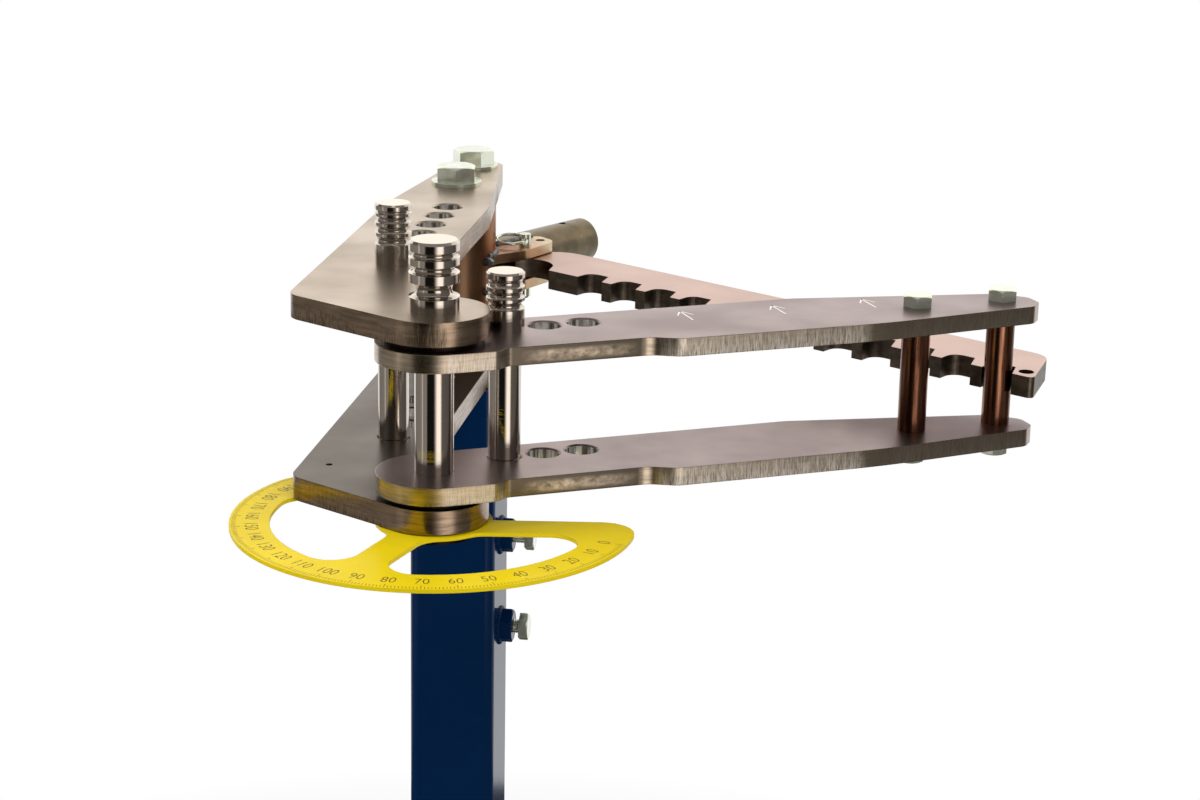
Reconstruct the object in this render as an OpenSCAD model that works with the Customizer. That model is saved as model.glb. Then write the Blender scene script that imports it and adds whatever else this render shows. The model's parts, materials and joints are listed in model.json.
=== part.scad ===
// Manual tube bender on a pedestal: two frame plates, a swinging arm, a hooked bar and a hand lever.
// Origin: floor level under the centre of the column. Front of the bender faces -Y, up is +Z.

/* [Pedestal] */
// Height of the lower frame plate's top face above the floor
deck_z = 940; // [700:5:1100]
// Outer width of the square column
column_w = 78.6; // [70:0.1:90]
// Wall of the square column
column_wall = 4.8; // [3:0.1:5.5]
// Corner radius of the column
column_corner = 9.5; // [6:0.5:11]
// Side of the square foot plate
foot_w = 480; // [400:5:600]
// Thickness of the foot plate
foot_t = 12.7; // [8:0.1:20]
// Corner radius of the foot plate
foot_corner = 20; // [5:1:40]
// Edge of the foot plate to the four anchor holes
anchor_in = 40; // [25:1:60]
// Diameter of the anchor holes
anchor_d = 17.5; // [10:0.5:22]
// Reach and height of the gussets
gusset_size = 110; // [60:5:140]
// Thickness of the gussets
gusset_t = 9.5; // [6:0.5:14]

/* [Frame plates] */
// Thickness of the frame plates
frame_t = 19; // [12:0.5:25]
// Clear height between the frame plates
frame_gap = 127; // [115:0.5:150]
// Radius of the frame hub round the pivot
frame_hub_r = 42; // [38:0.5:48]
// Pivot to the left edge
frame_left = 119; // [110:1:135]
// Pivot to the right edge, which also lies left of the pivot
frame_right = 27.2; // [20:0.2:30]
// Pivot to the rear end
frame_rear = 572; // [565:1:620]
// Pivot to the start of the rear taper on the right
taper_start = 368; // [330:1:400]
// How far the taper brings each edge in at the rear end
taper_in = 24; // [10:1:26]
// Angle of the front edge below the cross direction
front_slope = 31.3; // [20:0.1:40]
// Corner radius at the front left
front_corner = 20; // [5:1:30]
// Corner radius at the rear end
rear_corner = 17; // [5:1:20]
// Fillet between the right edge and the hub
hub_fillet = 24; // [10:1:40]
// Pivot to the row of follow-pin holes, across
row_x = 63; // [55:0.5:75]
// Pivot to the first follow-pin hole, along
row_y = 142; // [120:1:160]
// Pitch of the follow-pin holes
row_pitch = 36.7; // [32:0.1:38]
// Number of follow-pin holes
row_count = 7; // [3:1:7]
// Chamfer of the pin holes' upper edges in the frame plates and the arm plates
hole_chamfer = 1.3; // [0.3:0.1:2]
// Diameter of the small hole in the lower plate
peg_hole_d = 5.5; // [3:0.5:8]
// Pivot to the small hole, along
peg_along = 57; // [40:1:80]

/* [Rear bolts] */
// Pivot to the rear bolts, across
rear_bolt_x = 75.6; // [72:0.1:80]
// Pivot to the near rear bolt, along
near_bolt_y = 464; // [460:1:470]
// Pitch of the two rear bolts
rear_bolt_pitch = 82; // [70:1:90]
// Diameter of the rear bolts
rear_bolt_d = 22.2; // [16:0.1:24]
// Width across flats of the rear bolt heads and nuts
rear_hex = 34; // [30:0.5:38]
// Height of the rear bolt heads
rear_head_h = 14; // [8:0.5:18]
// Height of the rear nuts
rear_nut_h = 18; // [10:0.5:22]
// Diameter of the rear washers
rear_washer_d = 46; // [38:1:50]
// Thickness of the rear washers
rear_washer_t = 3.2; // [2:0.1:5]
// Outer diameter of the spacer tube on the far bolt
rear_tube_d = 31.8; // [30:0.1:38]

/* [Mounting post] */
// Outer width of the post that drops into the column
post_w = 63.5; // [56:0.1:65]
// Wall of the post
post_wall = 6.4; // [4:0.1:10]
// Length of the post in the column
post_len = 260; // [200:5:300]
// Across flats of the nuts welded on the column
clamp_nut_hex = 28.6; // [24:0.1:32]
// Height of the nuts welded on the column
clamp_nut_h = 12.7; // [8:0.1:20]
// Diameter of the clamp bolts
clamp_bolt_d = 12; // [8:0.5:14]
// Across flats of the clamp bolt heads
clamp_hex = 23; // [18:0.1:26]
// Height of the clamp bolt heads
clamp_head_h = 8.5; // [6:0.5:14]
// Gap between nut and head of the upper clamp bolt
clamp_gap_upper = 11; // [4:0.5:16]
// Gap between nut and head of the lower clamp bolt
clamp_gap_lower = 6; // [4:0.5:16]
// Depth of the upper clamp bolt below the column's top
clamp_depth = 148; // [110:1:155]
// Distance between the two clamp bolts
clamp_pitch = 89; // [60:1:92]

/* [Arm] */
// Angle of the arm from the cross direction
arm_angle = 28.3; // [24:0.1:32]
// Thickness of the arm plates
arm_t = 14.3; // [10:0.1:18]
// Thickness of the thrust washers between arm and frame
thrust_t = 4.8; // [3:0.1:8]
// Diameter of the thrust washers
thrust_d = 76; // [60:1:80]
// Radius of the arm hub
arm_hub_r = 45; // [43:0.5:50]
// Pivot to the end of the arm
arm_end = 502; // [495:1:520]
// Pivot to the far edge at the tip
arm_tip_far = 14; // [10:1:20]
// Pivot to the near edge at the tip
arm_tip_near = 33; // [28:1:40]
// Pivot to the start of the far taper
arm_far_taper = 312; // [250:1:340]
// Pivot to the start of the near taper
arm_near_taper = 354; // [300:1:380]
// Near edge beyond the recess
arm_near = 48; // [46:0.5:54]
// Near edge inside the recess
arm_recess = 37.8; // [34:0.2:42]
// Start of the recess
recess_start = 46; // [40:1:55]
// End of the recess
recess_end = 161; // [140:1:180]
// Pivot to the drive hole, along the arm
drive_u = 62.5; // [60:0.5:66]
// Offset of the drive holes from the arm's centre line
drive_off = 19.4; // [12:0.1:24]
// Pitch of the drive holes
drive_pitch = 31.75; // [29:0.05:34]
// Number of drive holes
drive_count = 3; // [1:1:4]
// Pivot to the outer arm bolt
outer_bolt_u = 478; // [470:1:484]
// Pitch of the two arm bolts
arm_bolt_pitch = 76.2; // [60:0.1:90]
// Offset of the arm bolts from the arm's centre line
arm_bolt_off = 4.7; // [0:0.1:10]
// Diameter of the arm bolts
arm_bolt_d = 14.2; // [10:0.1:15]
// Across flats of the arm bolt heads and nuts
arm_hex = 22.2; // [19:0.1:25]
// Height of the arm bolt heads
arm_head_h = 9.5; // [6:0.5:12]
// Height of the arm nuts
arm_nut_h = 12; // [8:0.5:16]
// Outer diameter of the arm spacer tubes
spacer_d = 22.9; // [20:0.1:24]

/* [Pins] */
// Diameter of the main pivot pin
main_pin_d = 30; // [28:0.5:32]
// Diameter of the follow pin and the drive pin
pin_d = 25.4; // [24:0.1:26]
// Radius of the main pin's head
main_head_r = 19.3; // [17.5:0.1:21]
// Height of the main pin's head
main_head_h = 54; // [48:1:60]
// Radius of the heads of the follow pin and the drive pin
pin_head_r = 14.9; // [14.2:0.1:16]
// Height of the follow pin's head
follow_head_h = 49.4; // [44:0.2:56]
// Height of the drive pin's head
drive_head_h = 45.3; // [40:0.1:50]
// Chamfer on the pins' ends
pin_chamfer = 2; // [0.5:0.1:3]
// How far the follow pin ends above the lower plate's bottom face
follow_short = 1; // [0.5:0.5:5]

/* [Degree ring] */
// Outer radius of the degree ring
ring_r = 156; // [150:1:162]
// Width of the rim outside the windows
rim_w = 30.7; // [26:0.1:36]
// Radius of the ring's two outer corners
ring_corner = 25; // [10:1:35]
// Radius of the ring's middle around the hub
ring_hub_r = 45; // [38:1:52]
// Thickness of the degree ring
ring_t = 3; // [2:0.1:4]
// Width of the outer spokes
spoke_w = 30; // [20:1:40]
// Width of the middle spoke
web_w = 28; // [20:1:50]
// Angle of the ring's middle spoke, right of the frame's front direction
ring_turn = -14.75; // [-30:0.25:30]
// Rise of each outer spoke above the cross direction
spoke_rise = 22.75; // [10:0.25:40]
// Corner radius of the windows
window_corner = 22; // [4:1:26]
// Radius of the journal that the ring turns on
journal_r = 26; // [24:0.5:30]
// Radius of the flange under the ring
flange_r = 35; // [33:0.5:40]
// Thickness of the flange under the ring
flange_t = 6; // [4:0.5:10]
// Diameter of the screws that hold the journal
dial_screw_d = 5; // [3:0.5:6]

/* [Lever] */
// Direction of the handle socket from the cross direction
lever_angle = 59; // [50:0.5:60]
// Outer diameter of the lever's hub barrel
barrel_d = 73; // [68:0.5:76]
// Outer diameter of the sleeve inside the barrel
sleeve_d = 38.1; // [34:0.1:44]
// Barrel axis to the clevis pin, along the socket
clevis_along = 61.5; // [60:0.5:64]
// Barrel axis to the clevis pin, across the socket
clevis_across = 30.8; // [29:0.1:33]
// Barrel axis to the spare clevis hole, along the socket
spare_along = 89; // [87:0.5:92]
// Barrel axis to the spare clevis hole, across the socket
spare_across = 26; // [24:0.5:28]
// Diameter of the spare clevis hole
spare_d = 9; // [5:0.5:10]
// Clear height between the clevis plates
clevis_gap = 19.3; // [19:0.1:21]
// Thickness of the clevis plates
clevis_t = 9; // [6:0.5:12]
// Diameter of the clevis pin
clevis_pin_d = 11; // [9:0.5:12]
// How far the clevis pin stands above the upper plate
clevis_pin_above = 11.5; // [9:0.5:16]
// How far the clevis pin reaches below the lower plate
clevis_pin_below = 12.5; // [6:0.5:18]
// Middle diameter of the pull ring
pull_ring_d = 26.4; // [24:0.2:30]
// Wire of the pull ring
pull_wire_d = 3; // [2:0.1:3.2]
// Outer diameter of the handle socket
socket_d = 42.2; // [40:0.1:44]
// Wall of the handle socket
socket_wall = 3.6; // [2.5:0.1:5]
// Barrel axis to the open end of the socket
socket_end = 182; // [160:1:220]
// Bore of the socket behind the handle's seat
seat_bore_d = 28; // [20:1:32]
// Diameter of the cross hole near the socket's end
socket_hole_d = 7; // [4:0.5:9]
// Distance of the cross hole from the socket's end
socket_hole_in = 30; // [20:1:40]

/* [Hooked bar] */
// Thickness of the bar
bar_t = 17.6; // [14:0.1:18]
// Bar's far edge from the clevis pin
bar_far = 41.5; // [38:0.5:44]
// Bar's near edge from the clevis pin
bar_near = 27.5; // [25:0.5:29]
// Hook centre line from the clevis pin
hook_off = 22.4; // [21:0.1:24]
// Pitch of the hooks
hook_pitch = 38.5; // [36:0.1:40]
// Number of hooks
hook_count = 12; // [6:1:12]
// Hook centre line to the hook's upright wall
hook_wall = 12.3; // [12:0.1:13]
// Hook centre line to the hook's tip
hook_tip = 8.4; // [6:0.1:10]
// Hook centre line to the hook's lip
hook_lip = 15.9; // [15:0.1:17]
// Room over the spacer tube in a hook
hook_room = 2.9; // [2:0.1:3.5]
// Radius of the clearance round the bar's eye
eye_cut_r = 24; // [20:0.5:26]
// Clevis pin to the tip over the clearance
eye_cut_tip = 43.7; // [40:0.1:46]
// Bar's length past the last hook
bar_tail = 36; // [30:1:42]
// Slope of the bar down from the lever to the arm
bar_droop = 0.9; // [0:0.1:1]
// Diameter of the hole in the bar's outer end
end_hole_d = 12.7; // [8:0.1:14]
// Last hook to the hole in the outer end, along
end_hole_along = 21.7; // [20:0.1:24]
// Clevis pin to the hole in the outer end, across
end_hole_off = 14.5; // [10:0.1:16]

/* [Hidden] */
$fn = 72;
// Radial clearance of pins and shafts in their holes
fit = 0.1;
// Running clearance between faces of moving pieces
run = 0.3;
// Rounding inside a hook as a share of its wall's distance
hook_round_share = 0.85;
// Drop of the eye's clearance below the clevis pin
eye_cut_drop = 2;
// Radial clearance of bolts in their holes
bolt_fit = 0.3;
// Overrun of every cut past the faces that it goes through
over = 1;
// Steps of each rounded outline corner
corner_steps = 8;
// Column centre to the pivot, across and along
pivot_x = 57.6;
pivot_y = 392;
// Flat top of a hexagon head as a share of its width, and the slope of its turned corners
hex_top_share = 0.94;
hex_slope = 1.73;

// Turn a plan vector by an angle
function turn(v, a) = [v.x * cos(a) - v.y * sin(a), v.x * sin(a) + v.y * cos(a)];
// Arc that rounds the corner b between a and c
function corner_arc(a, b, c, r) = let (
    u = (a - b) / norm(a - b),
    w = (c - b) / norm(c - b),
    half = acos(u * w) / 2,
    centre = b + (u + w) / norm(u + w) * r / sin(half),
    first = b + u * r / tan(half) - centre,
    last = b + w * r / tan(half) - centre,
    sweep = atan2(first.x * last.y - first.y * last.x, first * last)
) [for (i = [0:corner_steps]) centre + turn(first, sweep * i / corner_steps)];
// Outline of [x, y, corner radius] points
function outline(p) = [for (i = [0:len(p) - 1]) each let (
    a = p[(i + len(p) - 1) % len(p)],
    b = p[i],
    c = p[(i + 1) % len(p)]
) b[2] == 0 ? [[b.x, b.y]] : corner_arc([a.x, a.y], [b.x, b.y], [c.x, c.y], b[2])];

// Heights above the lower frame plate's top face
mid_z = frame_gap / 2;
frame_top = frame_gap + frame_t;
arm_low = thrust_t;
arm_high = frame_gap - thrust_t - arm_t;
arm_top = arm_high + arm_t;
ring_z = -frame_t - run - ring_t - ring_t * 0.2;
journal_z = ring_z - flange_t;

// Places in plan, from the pivot
far_bolt_y = near_bolt_y + rear_bolt_pitch;
rear_bolt_ys = [near_bolt_y, far_bolt_y];
lever_at = [-rear_bolt_x, near_bolt_y];
clevis_at = lever_at + turn([clevis_along, -clevis_across], lever_angle);
hook_at = turn([outer_bolt_u, -arm_bolt_off], arm_angle);
hook_span = norm(hook_at - clevis_at);
hook_u = sqrt(hook_span * hook_span - hook_off * hook_off);
bar_angle = atan2(hook_at.y - clevis_at.y, hook_at.x - clevis_at.x) + asin(hook_off / hook_span);
arm_bolt_us = [outer_bolt_u - arm_bolt_pitch, outer_bolt_u];

module at_pivot(z) translate([pivot_x, -pivot_y, deck_z + z]) children();
module at_arm(z) at_pivot(z) rotate([0, 0, arm_angle]) children();
module at_lever(z) at_pivot(z) translate(lever_at) rotate([0, 0, lever_angle]) children();
module at_clevis(z) at_pivot(z) translate(clevis_at) children();

module hex_prism(flats, h) cylinder(r = flats / sqrt(3), h = h, $fn = 6);
// Hexagon whose far corners are turned down to a cone
module hex_head(flats, h) intersection() {
    hex_prism(flats, h);
    cylinder(r1 = flats * hex_top_share / 2 + h * hex_slope, r2 = flats * hex_top_share / 2, h = h);
}
module hex_nut(flats, h, bore) difference() {
    translate([0, 0, h]) mirror([0, 0, 1]) hex_head(flats, h);
    bored(bore, h);
}
module tube(d, bore, h) difference() {
    cylinder(d = d, h = h);
    translate([0, 0, -over]) cylinder(d = bore, h = h + 2 * over);
}
module round_square(w, r) polygon(outline([for (s = [[1, 1], [-1, 1], [-1, -1], [1, -1]]) [s.x * w / 2, s.y * w / 2, r]]));
module bored(d, h) translate([0, 0, -over]) cylinder(d = d, h = h + 2 * over);

// Pedestal
gusset_toe = gusset_t;
anchor_at = foot_w / 2 - anchor_in;
column_len = deck_z - frame_t - foot_t;
column_top = deck_z - frame_t;
clamp_zs = [column_top - clamp_depth, column_top - clamp_depth - clamp_pitch];
clamp_gaps = [clamp_gap_upper, clamp_gap_lower];

module foot_plate() color("midnightblue") difference() {
    linear_extrude(foot_t) round_square(foot_w, foot_corner);
    for (x = [-1, 1], y = [-1, 1]) translate([x * anchor_at, y * anchor_at, 0]) bored(anchor_d, foot_t);
}

module gussets() color("midnightblue") for (a = [0:3]) rotate([0, 0, a * 90]) {
    translate([column_w / 2, gusset_t / 2, foot_t]) rotate([90, 0, 0]) linear_extrude(gusset_t)
        polygon([[0, 0], [gusset_size, 0], [gusset_size, gusset_toe], [gusset_toe, gusset_size], [0, gusset_size]]);
}

module pedestal_column() color("midnightblue") difference() {
    translate([0, 0, foot_t]) linear_extrude(column_len) round_square(column_w, column_corner);
    translate([0, 0, foot_t - over]) linear_extrude(column_len + 2 * over)
        round_square(column_w - 2 * column_wall, column_corner - column_wall / 2);
    for (z = clamp_zs) translate([0, 0, z]) rotate([0, 90, 0]) cylinder(d = clamp_bolt_d + 2 * fit, h = column_w);
}

module clamp_nuts() color("midnightblue") for (z = clamp_zs) translate([column_w / 2, 0, z]) rotate([0, 90, 0])
    difference() {
        hex_head(clamp_nut_hex, clamp_nut_h);
        bored(clamp_bolt_d + 2 * fit, clamp_nut_h);
    }

module clamp_bolt(i) color("silver") translate([post_w / 2, 0, clamp_zs[i]]) rotate([0, 90, 0]) {
    shank = column_w / 2 + clamp_nut_h + clamp_gaps[i] - post_w / 2;
    cylinder(d = clamp_bolt_d, h = shank);
    translate([0, 0, shank]) hex_head(clamp_hex, clamp_head_h);
}
module upper_clamp_bolt() clamp_bolt(0);
module lower_clamp_bolt() clamp_bolt(1);

// Frame
// Foot of the perpendicular from the pivot to the front edge, which is tangent to the hub
front_dir = [-sin(front_slope), -cos(front_slope)];
front_left_y = (frame_left * sin(front_slope) - frame_hub_r) / cos(front_slope);
fillet_at = [hub_fillet - frame_right, sqrt(pow(frame_hub_r + hub_fillet, 2) - pow(hub_fillet - frame_right, 2))];

module frame_outline() difference() {
    union() {
        circle(frame_hub_r);
        polygon(outline([
            [front_dir.x * frame_hub_r, front_dir.y * frame_hub_r, 0],
            [0, 0, 0],
            [fillet_at.x * frame_hub_r / norm(fillet_at), fillet_at.y * frame_hub_r / norm(fillet_at), 0],
            [fillet_at.x, fillet_at.y, 0],
            [-frame_right, fillet_at.y, 0],
            [-frame_right, taper_start, frame_left],
            [-frame_right - taper_in, frame_rear, rear_corner],
            [-frame_left + taper_in, frame_rear, rear_corner],
            [-frame_left, taper_start, frame_left],
            [-frame_left, front_left_y, front_corner]
        ]));
    }
    translate(fillet_at) circle(hub_fillet);
}

// Pin hole with a chamfered upper edge
module pin_hole(t) {
    bored(pin_d + 2 * fit, t);
    translate([0, 0, t - hole_chamfer]) cylinder(r1 = pin_d / 2 + fit, r2 = pin_d / 2 + fit + 2 * hole_chamfer, h = 2 * hole_chamfer);
}

module frame_plate() difference() {
    linear_extrude(frame_t) frame_outline();
    bored(main_pin_d + 2 * fit, frame_t);
    for (i = [0:row_count - 1]) translate([-row_x, row_y + i * row_pitch, 0]) pin_hole(frame_t);
    for (y = rear_bolt_ys) translate([-rear_bolt_x, y, 0]) bored(rear_bolt_d + 2 * bolt_fit, frame_t);
}

// Three screws round the pivot, midway between the pin and the journal's face
dial_screw_r = (main_pin_d / 2 + journal_r) / 2;
dial_screw_in = frame_t / 2;
dial_head_h = dial_screw_d * 0.7;
dial_head_hex = dial_screw_d * 1.6;
module at_dial_screws() for (i = [0:2]) rotate([0, 0, i * 120]) translate([dial_screw_r, 0, 0]) children();

module upper_frame_plate() color("rosybrown") at_pivot(frame_gap) frame_plate();

module lower_frame_plate() color("rosybrown") at_pivot(-frame_t) difference() {
    frame_plate();
    translate([-frame_left + front_corner + peg_hole_d / 2, peg_along, 0]) bored(peg_hole_d, frame_t);
    at_dial_screws() translate([0, 0, -over]) cylinder(d = dial_screw_d + 2 * fit, h = dial_screw_in + over);
}

module mounting_post() color("rosybrown") translate([0, 0, column_top - post_len]) difference() {
    linear_extrude(post_len) round_square(post_w, column_corner);
    translate([0, 0, -over]) linear_extrude(post_len + 2 * over) round_square(post_w - 2 * post_wall, column_corner / 2);
}

rear_grip = frame_top + frame_t + 2 * rear_washer_t;
// Turn of the near and the far bolt's head
rear_head_turns = [-22, 1];
module at_rear_bolts(z) at_pivot(z) for (y = rear_bolt_ys) translate([-rear_bolt_x, y, 0]) children();

module rear_bolts() color("silver") for (i = [0, 1])
    at_pivot(-frame_t - rear_washer_t - rear_nut_h) translate([-rear_bolt_x, rear_bolt_ys[i], 0]) {
        cylinder(d = rear_bolt_d, h = rear_nut_h + rear_grip);
        translate([0, 0, rear_nut_h + rear_grip]) rotate([0, 0, rear_head_turns[i]]) hex_head(rear_hex, rear_head_h);
    }

module rear_washers() color("silver") for (z = [-frame_t - rear_washer_t, frame_top])
    at_rear_bolts(z) tube(rear_washer_d, rear_bolt_d + 2 * bolt_fit, rear_washer_t);

module rear_nuts() color("silver") at_rear_bolts(-frame_t - rear_washer_t - rear_nut_h)
    hex_nut(rear_hex, rear_nut_h, rear_bolt_d + 2 * fit);

module rear_spacer_tube() color("tan") at_pivot(0) translate([-rear_bolt_x, far_bolt_y, 0])
    tube(rear_tube_d, rear_bolt_d + 2 * fit, frame_gap);

module lever_sleeve() color("silver") at_lever(0) tube(sleeve_d, rear_bolt_d + 2 * fit, frame_gap);

// Degree ring
window_r = ring_r - rim_w;
// Centre of the right corner's circle in the spoke's direction, and the turn from the spoke to it
corner_at = [sqrt(pow(ring_r - ring_corner, 2) - pow(ring_corner, 2)), -ring_corner];
corner_turn = atan2(ring_corner, corner_at.x);
// Steps of the rim's and the hub's outline, and the rim's start
rim_steps = 96;
hub_steps = 24;
rim_start = spoke_rise - corner_turn;
right_corner = [for (i = [0:corner_steps]) let (t = 90 - (90 + corner_turn) * i / corner_steps)
    turn(corner_at + ring_corner * [cos(t), sin(t)], spoke_rise)];
left_corner = [for (i = [corner_steps:-1:0]) [-right_corner[i].x, right_corner[i].y]];
rim_points = [for (i = [1:rim_steps - 1]) let (a = rim_start - (180 + 2 * rim_start) * i / rim_steps)
    ring_r * [cos(a), sin(a)]];
hub_points = [for (i = [0:hub_steps]) let (a = 180 - spoke_rise - (180 - 2 * spoke_rise) * i / hub_steps)
    ring_hub_r * [cos(a), sin(a)]];

module dial_journal() color("silver") at_pivot(journal_z) difference() {
    union() {
        cylinder(r = flange_r, h = flange_t);
        cylinder(r = journal_r, h = -frame_t - journal_z);
    }
    bored(main_pin_d + 2 * fit, -frame_t - journal_z);
    at_dial_screws() bored(dial_screw_d + 2 * fit, -frame_t - journal_z);
}

module dial_screws() color("silver") at_pivot(journal_z) at_dial_screws() {
    cylinder(d = dial_screw_d, h = dial_screw_in - frame_t - journal_z);
    translate([0, 0, -dial_head_h]) hex_prism(dial_head_hex, dial_head_h);
}

module ring_half_window() offset(r = window_corner) offset(delta = -window_corner) difference() {
    intersection() {
        circle(window_r);
        translate([web_w / 2, -ring_r]) square([ring_r, 2 * ring_r]);
    }
    circle(ring_hub_r);
    rotate([0, 0, spoke_rise]) translate([-ring_r, -spoke_w]) square([2 * ring_r, ring_r + spoke_w]);
}

module ring_outline() difference() {
    polygon(concat(right_corner, rim_points, left_corner, hub_points));
    ring_half_window();
    mirror([1, 0]) ring_half_window();
}

module degree_ring() color("gold") at_pivot(ring_z) rotate([0, 0, ring_turn]) difference() {
    linear_extrude(ring_t) ring_outline();
    bored(2 * (journal_r + fit), ring_t);
}

// Pins
// Grooves of each head: start, end and depth as shares of the head's height and radius
main_groove_shares = [[0.2, 0.41, 0.3], [0.54, 0.655, 0.2], [0.755, 0.855, 0.14]];
follow_groove_shares = [[0.33, 0.47, 0.15], [0.52, 0.64, 0.13], [0.69, 0.8, 0.13], [0.84, 0.9, 0.1]];
drive_groove_shares = [[0.36, 0.5, 0.15], [0.55, 0.68, 0.13], [0.74, 0.89, 0.14]];
head_chamfer_share = 0.1;

module groove(r, low, high, depth) {
    half = (high - low) / 2;
    groove_r = depth < half ? (depth * depth + half * half) / (2 * depth) : half;
    translate([r - depth + groove_r, (low + high) / 2]) circle(groove_r, $fn = 40);
    translate([r - depth + groove_r, low]) square([depth, 2 * half]);
}

module pin_head(r, h, shares) {
    chamfer = r * head_chamfer_share;
    rotate_extrude() difference() {
        polygon([[0, 0], [r, 0], [r, h - chamfer], [r - chamfer, h], [0, h]]);
        for (g = shares) groove(r, g[0] * h, g[1] * h, g[2] * r);
    }
}

module pin_shaft(d, length) {
    translate([0, 0, pin_chamfer - length]) cylinder(d = d, h = length - pin_chamfer);
    translate([0, 0, -length]) cylinder(d1 = d - 2 * pin_chamfer, d2 = d, h = pin_chamfer);
}

module main_pivot_pin() color("lightgray") at_pivot(frame_top) {
    pin_shaft(main_pin_d, frame_top - journal_z + pin_chamfer);
    pin_head(main_head_r, main_head_h, main_groove_shares);
}

module follow_pin() color("lightgray") at_pivot(frame_top) translate([-row_x, row_y, 0]) {
    pin_shaft(pin_d, frame_top + frame_t - follow_short);
    pin_head(pin_head_r, follow_head_h, follow_groove_shares);
}

module drive_pin() color("lightgray") at_arm(arm_top) translate([drive_u, drive_off, 0]) {
    pin_shaft(pin_d, arm_top - arm_low + pin_chamfer);
    pin_head(pin_head_r, drive_head_h, drive_groove_shares);
}

// Arm
module thrust_washer() tube(thrust_d, main_pin_d + 2 * fit, thrust_t);
module upper_thrust_washer() color("darkgray") at_arm(frame_gap - thrust_t) thrust_washer();
module lower_thrust_washer() color("darkgray") at_arm(0) thrust_washer();

recess_step = arm_near - arm_recess;
recess_round = recess_step * 0.6;
arm_tip_r = arm_tip_far + arm_tip_near / 6;

module arm_outline() union() {
    circle(arm_hub_r);
    polygon(outline([
        [0, -arm_hub_r, 0],
        [recess_start - recess_step, -arm_hub_r, recess_round],
        [recess_start, -arm_recess, recess_round],
        [recess_end, -arm_recess, 2 * recess_step],
        [recess_end + 2 * recess_step, -arm_near, 2 * recess_step],
        [arm_near_taper, -arm_near, arm_end],
        [arm_end - recess_step, -arm_tip_near, recess_step],
        [arm_end, -arm_tip_near + recess_step, recess_round],
        [arm_end, -arm_tip_far / 3, recess_step],
        [arm_end - arm_tip_r, arm_tip_far, arm_tip_r],
        [arm_far_taper, arm_hub_r, arm_hub_r],
        [0, arm_hub_r, 0]
    ]));
}

module at_arm_bolts() for (u = arm_bolt_us) translate([u, -arm_bolt_off, 0]) children();

module arm_plate() difference() {
    linear_extrude(arm_t) arm_outline();
    bored(main_pin_d + 2 * fit, arm_t);
    for (i = [0:drive_count - 1]) translate([drive_u + i * drive_pitch, drive_off, 0]) pin_hole(arm_t);
    at_arm_bolts() bored(arm_bolt_d + 2 * bolt_fit, arm_t);
}
module upper_arm_plate() color("thistle") at_arm(arm_high) arm_plate();
module lower_arm_plate() color("thistle") at_arm(arm_low) arm_plate();

module arm_spacer(i) color("saddlebrown") at_arm(arm_low + arm_t) translate([arm_bolt_us[i], -arm_bolt_off, 0])
    tube(spacer_d, arm_bolt_d + 2 * bolt_fit, arm_high - arm_low - arm_t);
module inner_spacer_tube() arm_spacer(0);
module outer_spacer_tube() arm_spacer(1);

module arm_bolts() color("silver") at_arm(arm_low - arm_nut_h) at_arm_bolts() {
    cylinder(d = arm_bolt_d, h = arm_top - arm_low + arm_nut_h);
    translate([0, 0, arm_top - arm_low + arm_nut_h]) hex_head(arm_hex, arm_head_h);
}

module arm_nuts() color("silver") at_arm(arm_low - arm_nut_h) at_arm_bolts() hex_nut(arm_hex, arm_nut_h, arm_bolt_d + 2 * fit);

// Lever
module lever_barrel() color("sienna") at_lever(run) tube(barrel_d, sleeve_d + 2 * fit, frame_gap - 2 * run);

clevis_rim = clevis_pin_d * 1.25;
barrel_r = barrel_d / 2;
socket_r = socket_d / 2;

module clevis_plate_outline() difference() {
    polygon(outline([
        [0, -socket_r / 2, 0],
        [0, -barrel_r, 0],
        [clevis_along / 4, -barrel_r - run, barrel_r / 3],
        [clevis_along * 0.75, -clevis_across - clevis_rim, clevis_rim],
        [spare_along + spare_d * 0.75, -spare_across - clevis_rim + run, clevis_rim],
        [spare_along + clevis_rim, -socket_r / 2, clevis_rim / 2]
    ]));
    circle(barrel_r);
}

module clevis_plate(z) color("peru") difference() {
    at_lever(z) linear_extrude(clevis_t) clevis_plate_outline();
    at_lever(mid_z) rotate([0, 90, 0]) cylinder(d = socket_d, h = socket_end);
    at_clevis(z) bored(clevis_pin_d + 2 * fit, clevis_t);
    at_lever(z) translate([spare_along, -spare_across, 0]) bored(spare_d, clevis_t);
}
module upper_clevis_plate() clevis_plate(mid_z + clevis_gap / 2);
module lower_clevis_plate() clevis_plate(mid_z - clevis_gap / 2 - clevis_t);

// Room in the socket's side for the bar's eye
eye_room = clevis_across - clevis_pin_d - socket_r;
// Barrel axis to the handle's seat in the socket
seat_along = spare_along + socket_wall;

module handle_socket() color("darkkhaki") at_lever(mid_z) difference() {
    rotate([0, 90, 0]) cylinder(d = socket_d, h = socket_end);
    translate([seat_along, 0, 0]) rotate([0, 90, 0]) cylinder(d = socket_d - 2 * socket_wall, h = socket_end - seat_along + over);
    rotate([0, 90, 0]) cylinder(d = seat_bore_d, h = socket_end);
    translate([0, 0, -barrel_d]) cylinder(r = barrel_r, h = 2 * barrel_d);
    translate([0, -socket_d, -clevis_gap / 2]) cube([spare_along, socket_d + eye_room, clevis_gap]);
    translate([socket_end - socket_hole_in, 0, 0]) cylinder(d = socket_hole_d, h = socket_d);
}

pin_low = mid_z - clevis_gap / 2 - clevis_t - clevis_pin_below;
pin_high = mid_z + clevis_gap / 2 + clevis_t + clevis_pin_above;
pull_z = pin_high - clevis_pin_d / 2;
// Direction from the pin's axis to the ring's centre
pull_dir = 188;
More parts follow.
